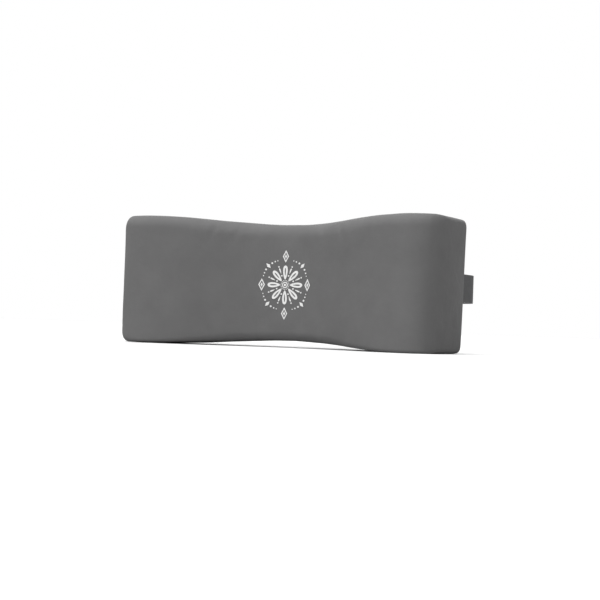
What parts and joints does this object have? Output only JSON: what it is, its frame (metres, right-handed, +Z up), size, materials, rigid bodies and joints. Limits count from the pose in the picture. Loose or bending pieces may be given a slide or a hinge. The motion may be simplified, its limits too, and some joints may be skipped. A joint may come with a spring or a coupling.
{
  "type": "car neck pillow",
  "caption": "Bone-shaped foam neck pillow in a grey leather-look cover with a rear zip, held round a car headrest by an adjustable strap.",
  "frame": {"origin": "middle of the flat back face, the face that rests on the headrest, at half the pillow's length and height", "axes": "+X along the length, +Y out of the back face towards the headrest, +Z up; the neck side looks along -Y"},
  "size_m": [0.3, 0.185, 0.114],
  "materials": {
    "cover": "smooth matt grey leather-look, very fine grain",
    "back_cloth": "matt grey leather-look back panel",
    "foam": "open-cell memory foam",
    "emblem": "white heat-pressed film",
    "zip_tape": "woven tape",
    "zip_teeth": "moulded teeth",
    "zip_metal": "gunmetal",
    "strap": "dense woven elastic webbing",
    "patch": "matt grey leather-look, box stitched",
    "ring_metal": "gunmetal",
    "buckle_plastic": "moulded, fine texture"
  },
  "bodies": {
    "pillow": {"foam_core": "foam", "cover_front": "cover", "back_panel_upper": "back_cloth", "back_panel_lower": "back_cloth", "emblem_rosette": "emblem", "emblem_lozenge_top": "emblem", "emblem_lozenge_bottom": "emblem", "emblem_lozenge_left": "emblem", "emblem_lozenge_right": "emblem", "zip_tape_upper": "zip_tape", "zip_tape_lower": "zip_tape", "zip_teeth_upper": "zip_teeth", "zip_teeth_lower": "zip_teeth", "zip_top_stop_upper": "zip_metal", "zip_top_stop_lower": "zip_metal", "zip_bottom_stop": "zip_metal", "strap_left": "strap", "strap_right": "strap", "anchor_patch_left": "patch", "anchor_patch_right": "patch", "strap_ring": "ring_metal"},
    "slider": {"zip_slider": "zip_metal"},
    "pull": {"zip_pull": "zip_metal"},
    "buckle": {"slide_buckle": "buckle_plastic"}
  },
  "joints": [
    {"name": "zip_slide", "type": "slide", "parent": "pillow", "child": "slider", "axis": [-1, 0, 0], "range_m": [0, 0.211]},
    {"name": "pull_swing", "type": "hinge", "parent": "slider", "child": "pull", "pos_m": [0.1056, 0.0018, -0.028], "axis": [0, 0, -1], "range_deg": [0, 170]},
    {"name": "buckle_slide", "type": "slide", "parent": "pillow", "child": "buckle", "axis": [1, 0, 0], "range_m": [-0.026, 0.028]}
  ]
}
